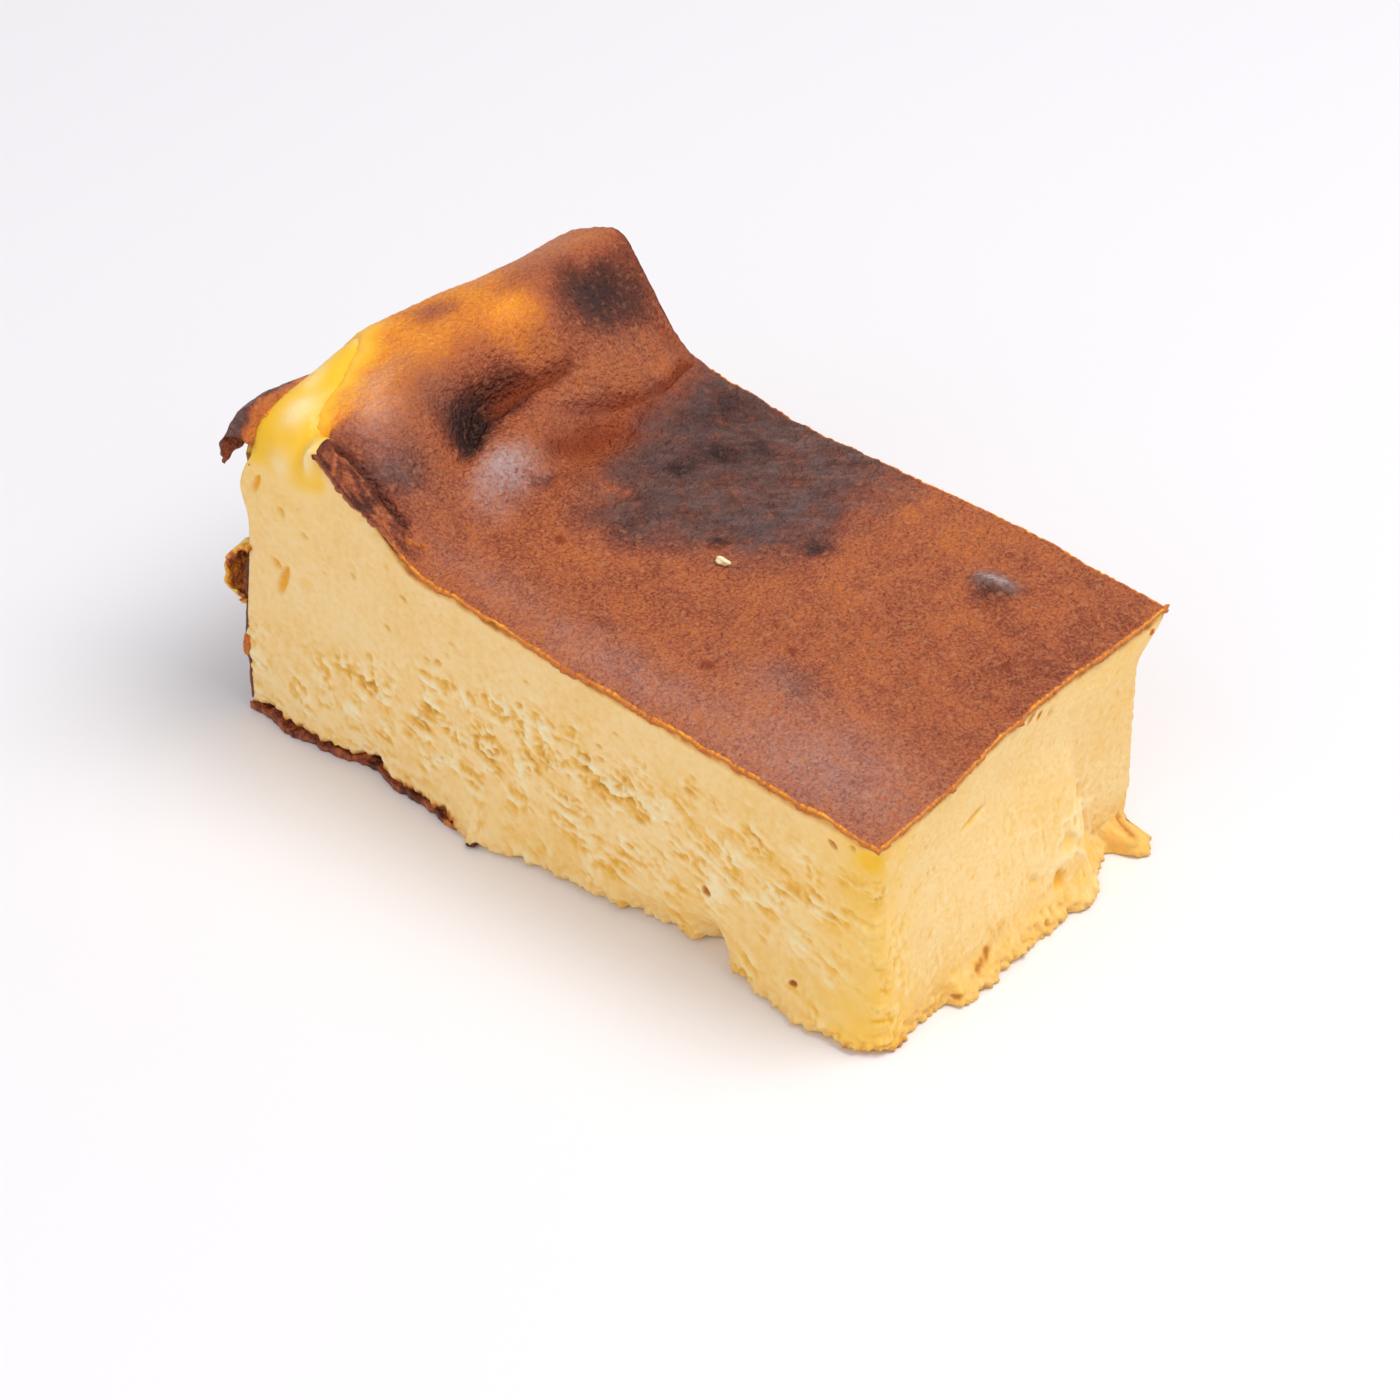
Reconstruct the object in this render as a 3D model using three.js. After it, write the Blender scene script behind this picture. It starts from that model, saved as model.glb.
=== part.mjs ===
// A slice of burnt Basque cheesecake cut from a deep slab: two long cut faces and one short cut
// face, a thin browned skin on top that stands a little proud of the crumb, and a baked end where
// the custard rose against the tin into a tall rolled hump. Millimetres, +Z up, +X towards the
// short cut face, -Y towards the long cut face with the torn foot.
import * as THREE from "three";

// ---- driving sizes -------------------------------------------------------------------------
const TOP_LENGTH = 98; // along the skin, from the baked end to the short cut face
const TOP_WIDTH = 56; // across the skin, from one long cut face to the other
const X_BAKED = -50; // nominal plane of the baked end
const X_CUT = X_BAKED + TOP_LENGTH; // nominal plane of the short cut face
const Y_NEAR = -TOP_WIDTH / 2;
const Y_FAR = TOP_WIDTH / 2;

const SLAB_HEIGHT = 33.5; // skin height at the near side, halfway along the slice
const SLAB_FALL = 0.058; // fall of the skin towards the cut end, mm per mm
const SLAB_LEAN = 0.012; // rise of the skin towards the far side, mm per mm

const CROWN_NEAR = 46.4; // top of the hump at the near cut face
const CROWN_MID = 47.9; // top of the hump in the middle
const CROWN_FAR = 50.2; // top of the hump at the far cut face
const CROWN_TILT = 0.36; // fall of the far crown towards the baked end, mm per mm
const ROLL_NEAR = 3.5; // how far the hump rolls over towards the baked wall, near side
const ROLL_FAR = 12; // the same at the far side
const ROLL_DROP = 0.45; // fall over that roll, as a share of its width

const SKIN = 0.8; // thickness of the browned skin
const SKIN_PROUD = 0.55; // how far the skin stands out past the crumb
const FAR_STEP = 2.2; // how far the far cut face falls back under the skin
const FAR_CORNER = 3.0; // how much further it falls back at the short cut face

const CENTRE_X = -0.33; // middle of the finished outline, moved onto the origin
const CENTRE_Y = -0.73;

// Segments along, across and up the slice.
const SEG_LONG = 48;
const SEG_WIDE = 26;
const SEG_TALL = 15;
const LIP_ROWS = 3; // rows of SEG_TALL spent on the skin's edge

// ---- small helpers ---------------------------------------------------------------------------
const mix = (a, b, t) => a + (b - a) * t;
const smooth = (a, b, v) => THREE.MathUtils.smoothstep(v, a, b);
const ease = (a, b, v) => (a < b ? smooth(a, b, v) : 1 - smooth(b, a, v));
const bell = (v, middle, spread) => Math.exp(-(((v - middle) / spread) ** 2));
const mound = (x, y, cx, cy, rx, ry) => bell(x, cx, rx) * bell(y, cy, ry);

// ---- skin ------------------------------------------------------------------------------------
// The hump seen from the side: a level crown, then an S-shaped fall to the foot. The foot lies
// further from the baked end at the near face than at the far face.
function hump(x, y) {
  const crown = mix(CROWN_NEAR, CROWN_MID, smooth(Y_NEAR, -8, y)) +
    (CROWN_FAR - CROWN_MID) * smooth(-4, 24, y);
  const start = mix(-41, -39, smooth(Y_NEAR, Y_FAR, y));
  const foot = mix(-18, -24.5, smooth(Y_NEAR, 22, y));
  const past = Math.max(0, -36 - x);
  const tilt = CROWN_TILT * smooth(2, 24, y) * past * past / (past + 3);
  return { crown: crown - tilt, share: 1 - ease(start, foot, x) };
}

// The crease that runs across the slice at the foot of the hump, deepest in the middle.
function crease(x, y) {
  const line = -31.6 + 3 * ease(-6, -17, y);
  const depth = 3.2 * bell(y, -4, 11);
  return depth * bell(x, line, 3);
}

// The lobes and the hollow between the crease and the level part.
function lobes(x, y) {
  const sheenLobe = 1.5 * mound(x, y, -25.2, -5.5, 3.2, 8);
  const upperLobe = 2.6 * mound(x, y, -27.5, 17.5, 4.5, 7);
  const hollow = 1.9 * mound(x, y, -22.3, 8, 4.2, 5.5);
  const ridge = 0.8 * bell(x, -18.5 - 0.18 * y, 2.6) * bell(y, 6, 16);
  return sheenLobe + upperLobe - hollow + ridge;
}

// Shallow waves of the level part, a blister and a pit.
function waves(x, y) {
  const sag = -1.4 * mound(x, y, -6, 28, 13, 16);
  const swell = 0.6 * mound(x, y, 32, 28, 12, 14);
  const nearSwell = 0.5 * mound(x, y, 22, -16, 14, 10);
  const blister = 0.9 * mound(x, y, 31.3, 16.8, 2.6, 2.2);
  const pit = -0.6 * mound(x, y, 10.6, 9, 2, 2);
  return sag + swell + nearSwell + blister + pit;
}

function skinHeight(x, y) {
  const slab = SLAB_HEIGHT - SLAB_FALL * x + SLAB_LEAN * (y - Y_NEAR);
  const { crown, share } = hump(x, y);
  let z = mix(slab, crown, share) + lobes(x, y) + waves(x, y) - crease(x, y);
  const roll = mix(ROLL_NEAR, ROLL_FAR, smooth(-14, Y_FAR, y));
  const intoRoll = THREE.MathUtils.clamp((X_BAKED + roll - x) / roll, 0, 1);
  z -= roll * ROLL_DROP * (1 - Math.sqrt(1 - 0.97 * intoRoll ** 2));
  return z;
}

// ---- sides -----------------------------------------------------------------------------------
// How much of the skin's overhang a point this far below the skin takes part in.
const lip = (below) => SKIN_PROUD * ease(SKIN * 1.6, SKIN * 0.9, below);

// Near cut face: upright, with a foot that is ragged and notched.
function nearFace(x, z, below) {
  const low = ease(9, 0, z);
  const foot =
    -0.9 * bell(x, -40, 12) +
    -2.4 * bell(x, -11, 7) +
    1.4 * bell(x, -31, 3) +
    1.3 * bell(x, 15, 5) +
    3.4 * bell(x, 22.4, 2.6) +
    -2.1 * bell(x, 38, 9);
  const lean = -0.5 * ease(34, 4, z);
  return Y_NEAR + 0.5 + lean + low * foot - lip(below);
}

// Far cut face: falls back under the skin, most at the short cut face, and comes out again at
// the foot.
function farFace(x, z, below) {
  const under = (FAR_STEP + FAR_CORNER * smooth(32, X_CUT, x)) * ease(0.6, 6, below);
  const foot = 1.2 * ease(8, 0, z) * ease(44, 34, x);
  const wander = 0.5 * Math.sin(x * 0.17 + 0.6) * ease(2, 10, below);
  return Y_FAR + 0.3 - under + foot + wander + lip(below);
}

// Short cut face: hollow along the skin and leaning out towards the foot, which steps out near
// one corner, draws in towards the other and ends there in a low lump.
function cutFace(y, z, below) {
  const hollow = -1.6 * bell(y, 5, 17);
  const spread = 1.9 + 2.3 * ease(-19, 0, y) - 2.0 * ease(12.5, 21.5, y);
  const step = 1.6 * ease(-14.8, -13.2, y) - 1.0 * ease(14, 21.5, y);
  const lump = 2.4 * ease(21.2, 23.2, y) * ease(4.4, 2.0, z);
  const rise = mix(24, 5, smooth(18, 21, y));
  const foot = ease(rise, 0, z) * spread + ease(4.5, 0.5, z) * step + lump;
  return X_CUT + 0.2 + hollow + foot + lip(below);
}

// Baked end: the wall that stood against the tin, with the curled skin at its near top corner
// and a scab of skin that peels away halfway up.
function bakedEnd(y, z) {
  const belly = -2.6 * bell(z, 10, 12);
  const corner = ease(-10, Y_NEAR, y);
  const curl = -2.6 * corner * bell(z, 43.5, 2.6) + 1.0 * corner * bell(z, 38.5, 2.2);
  const scab = -2.4 * bell(z, 22, 3.8) * ease(-19, -26, y);
  const wander = 0.5 * Math.sin(y * 0.21 + z * 0.13);
  return X_BAKED + belly + curl + scab + wander;
}

// Underside: flat, with the near baked corner lifted clear and a softly rounded rim.
function underside(x, y) {
  const lifted = 1.1 * ease(-14, -30, x) * ease(-22, Y_NEAR, y);
  const rim = 0.5 * smooth(0.93, 1, Math.abs(y) / Y_FAR);
  return lifted + rim;
}

// ---- solid -----------------------------------------------------------------------------------
// Grid stations: closer together over the hump than over the level part.
const alongStation = (u) => u - 0.065 * Math.sin(Math.PI * 2 * u) - 0.06 * Math.sin(Math.PI * u);
const acrossStation = (v) => v - 0.02 * Math.sin(Math.PI * 2 * v);

// Height of row k over the underside: even rows up to the skin, then the skin's own rows.
function rowHeight(k, bottom, top) {
  const body = SEG_TALL - LIP_ROWS;
  const shoulder = top - SKIN * 2.4;
  if (k <= body) {
    return mix(bottom, shoulder, k / body);
  }
  return mix(shoulder, top, (k - body) / LIP_ROWS);
}

function sliceGeometry() {
  const box = new THREE.BoxGeometry(1, 1, 1, SEG_LONG, SEG_WIDE, SEG_TALL);
  const at = box.getAttribute("position");
  for (let i = 0; i < at.count; i++) {
    const u = alongStation(at.getX(i) + 0.5);
    const v = acrossStation(at.getY(i) + 0.5);
    const row = Math.round((at.getZ(i) + 0.5) * SEG_TALL);
    const x = mix(X_BAKED, X_CUT, u);
    const y = mix(Y_NEAR, Y_FAR, v);
    const top = skinHeight(x, y);
    const z = rowHeight(row, underside(x, y), top);
    const below = top - z;
    at.setXYZ(
      i,
      mix(bakedEnd(y, z), cutFace(y, z, below), u),
      mix(nearFace(x, z, below), farFace(x, z, below), v),
      z,
    );
  }
  box.deleteAttribute("uv");
  box.computeVertexNormals();
  return box.translate(-CENTRE_X, -CENTRE_Y, 0);
}

const crumb = new THREE.MeshStandardMaterial({ color: 0xf0d096, roughness: 0.55, metalness: 0 });

const slice = new THREE.Mesh(sliceGeometry(), crumb);
slice.name = "cheesecake_slice";

const part = new THREE.Group();
part.name = "basque_cheesecake_slice";
part.add(slice);

export default part;
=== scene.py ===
"""The looks of a slice of burnt Basque cheesecake: torn creamy custard on the cut faces, a thin
browned skin over the top and down the baked end, burnt patches, curls and crumbs. Sizes are in
millimetres in the code and are turned to metres when a mesh is made."""

import math

import bmesh
import bpy
import numpy as np
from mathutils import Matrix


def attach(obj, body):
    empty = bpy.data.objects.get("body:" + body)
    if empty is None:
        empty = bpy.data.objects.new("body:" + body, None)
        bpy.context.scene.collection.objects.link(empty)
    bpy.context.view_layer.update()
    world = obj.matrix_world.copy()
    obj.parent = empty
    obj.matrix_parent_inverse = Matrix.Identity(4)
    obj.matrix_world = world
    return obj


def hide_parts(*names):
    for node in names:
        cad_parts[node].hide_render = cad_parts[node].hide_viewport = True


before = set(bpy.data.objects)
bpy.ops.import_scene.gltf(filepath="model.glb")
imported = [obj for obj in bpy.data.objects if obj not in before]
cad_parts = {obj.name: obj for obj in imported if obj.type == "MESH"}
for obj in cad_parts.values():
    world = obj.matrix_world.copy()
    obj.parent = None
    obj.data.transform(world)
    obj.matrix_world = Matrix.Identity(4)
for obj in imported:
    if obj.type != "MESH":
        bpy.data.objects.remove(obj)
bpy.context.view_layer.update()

MM = 0.001

# ---- camera ----
CAMERA_PLACE = (248.53, -297.35, 320.58)
CAMERA_HEADING = 39.85  # degrees from straight along the slice's width
CAMERA_DIP = 38.67  # degrees below level
CAMERA_LENS = 102.86  # on a sensor 36 mm wide


def put_in_scene(name, data):
    made = bpy.data.objects.new(name, data)
    bpy.context.scene.collection.objects.link(made)
    return made


def add_camera():
    lens = bpy.data.cameras.new("camera")
    lens.lens = CAMERA_LENS
    lens.sensor_width = 36
    camera = put_in_scene("camera", lens)
    camera.location = [c * MM for c in CAMERA_PLACE]
    camera.rotation_euler = (math.radians(90 - CAMERA_DIP), 0, math.radians(CAMERA_HEADING))
    bpy.context.scene.camera = camera


add_camera()

# ---- driving sizes ----
# Those of the solid.
X_BAKED, X_CUT = -50.0, 48.0
Y_NEAR, Y_FAR = -28.0, 28.0
CENTRE = np.array([-0.33, -0.73, 0.0])

SLAB_HEIGHT = 33.5
SLAB_FALL = 0.058
SLAB_LEAN = 0.012
CROWN_NEAR, CROWN_MID, CROWN_FAR = 46.4, 47.9, 50.2
CROWN_TILT = 0.36
ROLL_NEAR, ROLL_FAR = 3.5, 12.0
ROLL_DROP = 0.45
FAR_STEP, FAR_CORNER = 2.2, 3.0

# Those that only the looks have.
BARE_ROUND = 6.0  # rounding of the custard's edge where no skin covers it
WORN_EDGE = 2.8  # rounding of the upright edge between the two cut faces in view
SKIN = 0.45  # thickness of the browned skin
SKIN_PROUD = 0.4  # how far its edge stands out past the custard
BASE_SKIN = 0.5  # thickness of the browned underside
LIFT = 0.12  # how far its lowest places stay above the floor

# Cells of the lattice that the custard is made from, and of the grids for pieces of skin.
CUSTARD_CELLS = (408, 234, 120)
SKIN_LONG, SKIN_ACROSS, SKIN_DOWN = 316, 156, 104
EDGE_ROWS, EDGE_REACH = 12, 4.0  # rows of the skin along the two long cut faces, and their reach
END_ROWS, END_REACH = 8, 3.0  # the same along the short cut face
STRIP_LONG, STRIP_ROUND = 96, 64
BASE_LONG, BASE_ACROSS = 288, 168
CRUMB_CELLS = (12, 12, 12)
EVEN_STEPS = {(axis, end): 1 for axis in range(3) for end in (0, 1)}
INNER_STEP = 4  # cells that one face spans on the hidden side of a sheet

# What each point of a piece carries a number for, from 0 to about 1, by the piece's slot.
NUMBERS = {
    "crumb": ("hollow", "moist", "browned"),
    "browned_skin": ("bake", "ash_and_sheen", "painted_sheen", "ember", "freckle"),
}


# ---- helpers for numbers ----
def mix(a, b, share):
    return a + (b - a) * share


def ease(start, stop, value):
    share = np.clip((value - start) / (stop - start), 0, 1)
    return share * share * (3 - 2 * share)


def bell(value, middle, spread):
    return np.exp(-(((value - middle) / spread) ** 2))


def mound(x, y, cx, cy, rx, ry):
    return bell(x, cx, rx) * bell(y, cy, ry)


def stacked(*columns):
    """Places, or any other rows of numbers, from their columns."""
    return np.stack(np.broadcast_arrays(*columns), axis=-1)


def shuffled(order, cell):
    """A number from 0 to 255 for each cell of space, as random as the order is."""
    x, y, z = (cell & 255).T
    return order[(order[(order[x] + y) & 255] + z) & 255]


def grain(places, size, seed):
    """Smooth random relief from about -1 to 1, with bumps of the given size in millimetres."""
    dice = np.random.default_rng(seed)
    order = dice.permutation(256)
    slopes = dice.normal(size=(256, 3))
    slopes /= np.linalg.norm(slopes, axis=1)[:, None]
    points = places.reshape(-1, 3) / size
    cell = np.floor(points).astype(int)
    inside = points - cell
    fade = inside**3 * (inside * (inside * 6 - 15) + 10)
    total = np.zeros(len(points))
    for corner in np.ndindex(2, 2, 2):
        weight = np.prod(np.where(corner, fade, 1 - fade), axis=1)
        total += weight * ((inside - corner) * slopes[shuffled(order, cell + corner)]).sum(1)
    return 1.6 * total.reshape(places.shape[:-1])


def layered(places, size, seed, layers=3):
    """Grain with finer grain on it, each layer half the size and half the height."""
    return sum(grain(places, size / 2**n, seed + n) / 2**n for n in range(layers))


def curds(places, size, seed):
    """Distance to the nearest of scattered centres, to the second nearest, and a number from 0
    to 1 that is the same all over one centre's territory. Distances are shares of size."""
    dice = np.random.default_rng(seed)
    order = dice.permutation(256)
    shifts = dice.random((256, 3))
    luck = dice.random(256)
    points = places.reshape(-1, 3) / size
    cell = np.floor(points).astype(int)
    first = np.full(len(points), 9.0)
    second = first.copy()
    chosen = np.zeros(len(points))
    for step in np.ndindex(3, 3, 3):
        key = cell + step - 1
        pick = shuffled(order, key)
        far = np.linalg.norm(key + shifts[pick] - points, axis=1)
        closer = far < first
        second = np.where(closer, first, np.minimum(second, far))
        chosen = np.where(closer, luck[pick], chosen)
        first = np.where(closer, far, first)
    return [found.reshape(places.shape[:-1]) for found in (first, second, chosen)]


# ---- form of the slice ----
def skin_height(x, y):
    """Height of the skin: a level slab that sags a little, and a hump at the baked end."""
    slab = SLAB_HEIGHT - SLAB_FALL * x + SLAB_LEAN * (y - Y_NEAR)
    crown = mix(CROWN_NEAR, CROWN_MID, ease(Y_NEAR, -8, y))
    crown = crown + (CROWN_FAR - CROWN_MID) * ease(-4, 24, y)
    past = np.maximum(0, -36 - x)
    crown = crown - CROWN_TILT * ease(2, 24, y) * past * past / (past + 3)
    start = mix(-41, -39, ease(Y_NEAR, Y_FAR, y))
    foot = mix(-18, -24.5, ease(Y_NEAR, 22, y))
    z = mix(slab, crown, 1 - ease(start, foot, x))
    z = z + lobes(x, y) + waves(x, y) - crease(x, y)
    roll = mix(ROLL_NEAR, ROLL_FAR, ease(-14, Y_FAR, y))
    into_roll = np.clip((X_BAKED + roll - x) / roll, 0, 1)
    z = z - roll * ROLL_DROP * (1 - np.sqrt(1 - 0.97 * into_roll**2))
    # Where the custard is bare its near edge is rounded off.
    near_edge = np.clip((Y_NEAR + BARE_ROUND - y) / BARE_ROUND, 0, 1)
    return z - BARE_ROUND * ease(-38.2, -41.5, x) * (1 - np.sqrt(1 - 0.98 * near_edge**2))


def crease(x, y):
    line = -31.6 + 3 * ease(-6, -17, y)
    return 3.2 * bell(y, -4, 11) * bell(x, line, 3)


def lobes(x, y):
    sheen_lobe = 1.5 * mound(x, y, -25.2, -5.5, 3.2, 8)
    upper_lobe = 2.6 * mound(x, y, -27.5, 17.5, 4.5, 7)
    hollow = 1.9 * mound(x, y, -22.3, 8, 4.2, 5.5)
    ridge = 0.8 * bell(x, -18.5 - 0.18 * y, 2.6) * bell(y, 6, 16)
    return sheen_lobe + upper_lobe - hollow + ridge


def waves(x, y):
    sag = -1.4 * mound(x, y, -6, 28, 13, 16)
    swell = 0.6 * mound(x, y, 32, 28, 12, 14)
    near_swell = 0.5 * mound(x, y, 22, -16, 14, 10)
    blister = 0.9 * mound(x, y, 31.3, 16.8, 2.6, 2.2)
    pit = -0.6 * mound(x, y, 10.6, 9, 2, 2)
    lip_rise = 0.7 * bell(x, -15, 6.5) * ease(-19, Y_NEAR, y)
    return sag + swell + near_swell + blister + pit + lip_rise


def near_face(x, z):
    low = ease(9, 0, z)
    foot = -0.9 * bell(x, -40, 12) - 2.4 * bell(x, -11, 7) + 1.4 * bell(x, -31, 3)
    foot = foot + 1.3 * bell(x, 15, 5) + 3.4 * bell(x, 22.4, 2.6) - 2.1 * bell(x, 38, 9)
    return Y_NEAR + 0.5 - 0.5 * ease(34, 4, z) + low * foot


def far_face(x, z, below):
    under = (FAR_STEP + FAR_CORNER * ease(32, X_CUT, x)) * ease(0.6, 6, below)
    foot = 1.2 * ease(8, 0, z) * ease(44, 34, x)
    wander = 0.5 * np.sin(x * 0.17 + 0.6) * ease(2, 10, below)
    return Y_FAR + 0.3 - under + foot + wander


def cut_face(y, z):
    """The short cut face leans out to its foot, which steps out and ends in a low lump."""
    spread = 1.9 + 2.3 * ease(-19, 0, y) - 2.6 * ease(12.5, 21.5, y)
    step = 1.6 * ease(-14.8, -13.2, y) - 1.0 * ease(14, 21.5, y)
    height = mix(3.6, 2.0, ease(25.0, 27.6, y))
    lump = 2.9 * ease(22.6, 24.2, y) * ease(1.0, 0.5, z / height)
    rise = mix(24, 3.0, ease(13, 21, y))
    foot = ease(rise, 0, z) * spread + ease(4.5, 0.5, z) * step + lump
    return X_CUT + 0.2 - 1.6 * bell(y, 5, 17) + foot


def baked_end(y, z):
    belly = -2.6 * bell(z, 10, 12)
    wander = 0.5 * np.sin(y * 0.21 + z * 0.13)
    return X_BAKED + belly + wander


def underside(x, y):
    lifted = 1.1 * ease(-14, -30, x) * ease(-22, Y_NEAR, y)
    rim = 0.5 * ease(0.93, 1, np.abs(y) / Y_FAR)
    return lifted + rim


# ---- helpers for meshes ----
def piece(name, points, faces, values, slot):
    """One closed mesh in the frame, on the slice's body. values holds a number for each point and
    each name in NUMBERS, for the slot's material to read."""
    mesh = bpy.data.meshes.new(name)
    mesh.from_pydata(((points - CENTRE) * MM).tolist(), [], faces)
    for key, numbers in zip(NUMBERS[slot], values):
        layer = mesh.attributes.new(key, "FLOAT", "POINT")
        layer.data.foreach_set("value", np.asarray(numbers, np.float32))
    work = bmesh.new()
    work.from_mesh(mesh)
    bmesh.ops.triangulate(work, faces=[f for f in work.faces if len(f.verts) > 4])
    bmesh.ops.recalc_face_normals(work, faces=work.faces)
    work.to_mesh(mesh)
    work.free()
    mesh.shade_smooth()
    mesh.materials.append(LOOKS[slot])
    made = put_in_scene(name, mesh)
    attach(made, "root")
    return made


def grid_normals(points):
    down = np.gradient(points, axis=0)
    along = np.gradient(points, axis=1)
    across = np.cross(along, down)
    return across / np.maximum(np.linalg.norm(across, axis=2), 1e-9)[..., None]


def block(counts, steps):
    """Lattice places, from 0 to 1, and faces of a closed block. counts says how many cells it has
    along x, y and z. steps says for each side (axis, end) how many cells one face spans."""
    numbers = {}
    faces = []
    for axis, end in steps:
        a, b = (axis + 1) % 3, (axis + 2) % 3
        span = steps[axis, end]
        for p in range(0, counts[a], span):
            for q in range(0, counts[b], span):
                edges = (
                    (p, q, 1, 0, (b, 0) if q == 0 else None),
                    (p + span, q, 0, 1, (a, 1) if p + span == counts[a] else None),
                    (p + span, q + span, -1, 0, (b, 1) if q + span == counts[b] else None),
                    (p, q + span, 0, -1, (a, 0) if p == 0 else None),
                )
                loop = []
                for start_p, start_q, move_p, move_q, neighbour in edges:
                    pace = min(span, steps[neighbour]) if neighbour else span
                    for n in range(0, span, pace):
                        place = [0, 0, 0]
                        place[axis] = end * counts[axis]
                        place[a] = start_p + move_p * n
                        place[b] = start_q + move_q * n
                        loop.append(numbers.setdefault(tuple(place), len(numbers)))
                faces.append(loop if end else loop[::-1])
    return np.array(list(numbers), float) / counts, faces


def skin_sheet(name, outer, inner, pairs):
    """A closed sheet of skin between two grids of points, its inner side in coarser faces. pairs
    holds each of the skin's numbers for the outer and for the inner points."""
    rows, columns = outer.shape[0] - 1, outer.shape[1] - 1
    places, faces = block((rows, columns, 1), {**EVEN_STEPS, (2, 0): INNER_STEP})
    i, j, k = np.rint(places * (rows, columns, 1)).astype(int).T
    values = []
    for pair in pairs:
        outside, inside = (np.broadcast_to(numbers, outer.shape[:2])[i, j] for numbers in pair)
        values.append(np.where(k == 1, outside, inside))
    points = np.where(k[:, None] == 1, outer[i, j], inner[i, j])
    piece(name, points, faces, values, "browned_skin")


# ---- helpers for materials ----
def linear(hexed):
    """An sRGB colour such as "f3d49b" as linear red, green, blue and alpha."""
    parts = [int(hexed[n : n + 2], 16) / 255 for n in (0, 2, 4)]
    return [p / 12.92 if p <= 0.04045 else ((p + 0.055) / 1.055) ** 2.4 for p in parts] + [1]


def add(tree, kind, settings=None, **links):
    """A node of the kind with its settings. A link is named after a socket, or n and its number,
    and gives the output that feeds it, or the node whose first output in use does."""
    node = tree.nodes.new("ShaderNode" + kind)
    for key, value in (settings or {}).items():
        if isinstance(key, str) and hasattr(node, key):
            setattr(node, key, value)
        else:
            node.inputs[key].default_value = value
    for key, source in links.items():
        socket = node.inputs[int(key[1:]) if key[1:].isdigit() else key.replace("_", " ")]
        if isinstance(source, bpy.types.Node):
            source = next(output for output in source.outputs if output.enabled)
        tree.links.new(source, socket)
    return node


def noise_scale(width):
    """The scale of a noise whose bumps are this wide, in millimetres. A bump and the dent beside
    it share one step of the pattern."""
    return 1 / (2 * width * MM)


def fresh_material(name):
    made = bpy.data.materials.new(name)
    made.use_nodes = True
    made.node_tree.nodes.clear()
    return made, made.node_tree


def set_stops(node, stops):
    ramp = node.color_ramp
    while len(ramp.elements) > 1:
        ramp.elements.remove(ramp.elements[-1])
    for n, (place, colour) in enumerate(stops):
        stop = ramp.elements[0] if n == 0 else ramp.elements.new(place)
        stop.position = place
        stop.color = linear(colour)


# The skin's colours as it bakes: soft yellow, butter, amber and caramel, then russet and browns.
BROWNING = (
    (0.0, "fadc8c"), (0.12, "febb2c"), (0.25, "f18f1e"), (0.36, "d4752a"), (0.48, "c1683e"),
    (0.60, "99492b"), (0.74, "632c18"), (0.87, "461b10"), (1.0, "30100a"),
)
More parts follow.
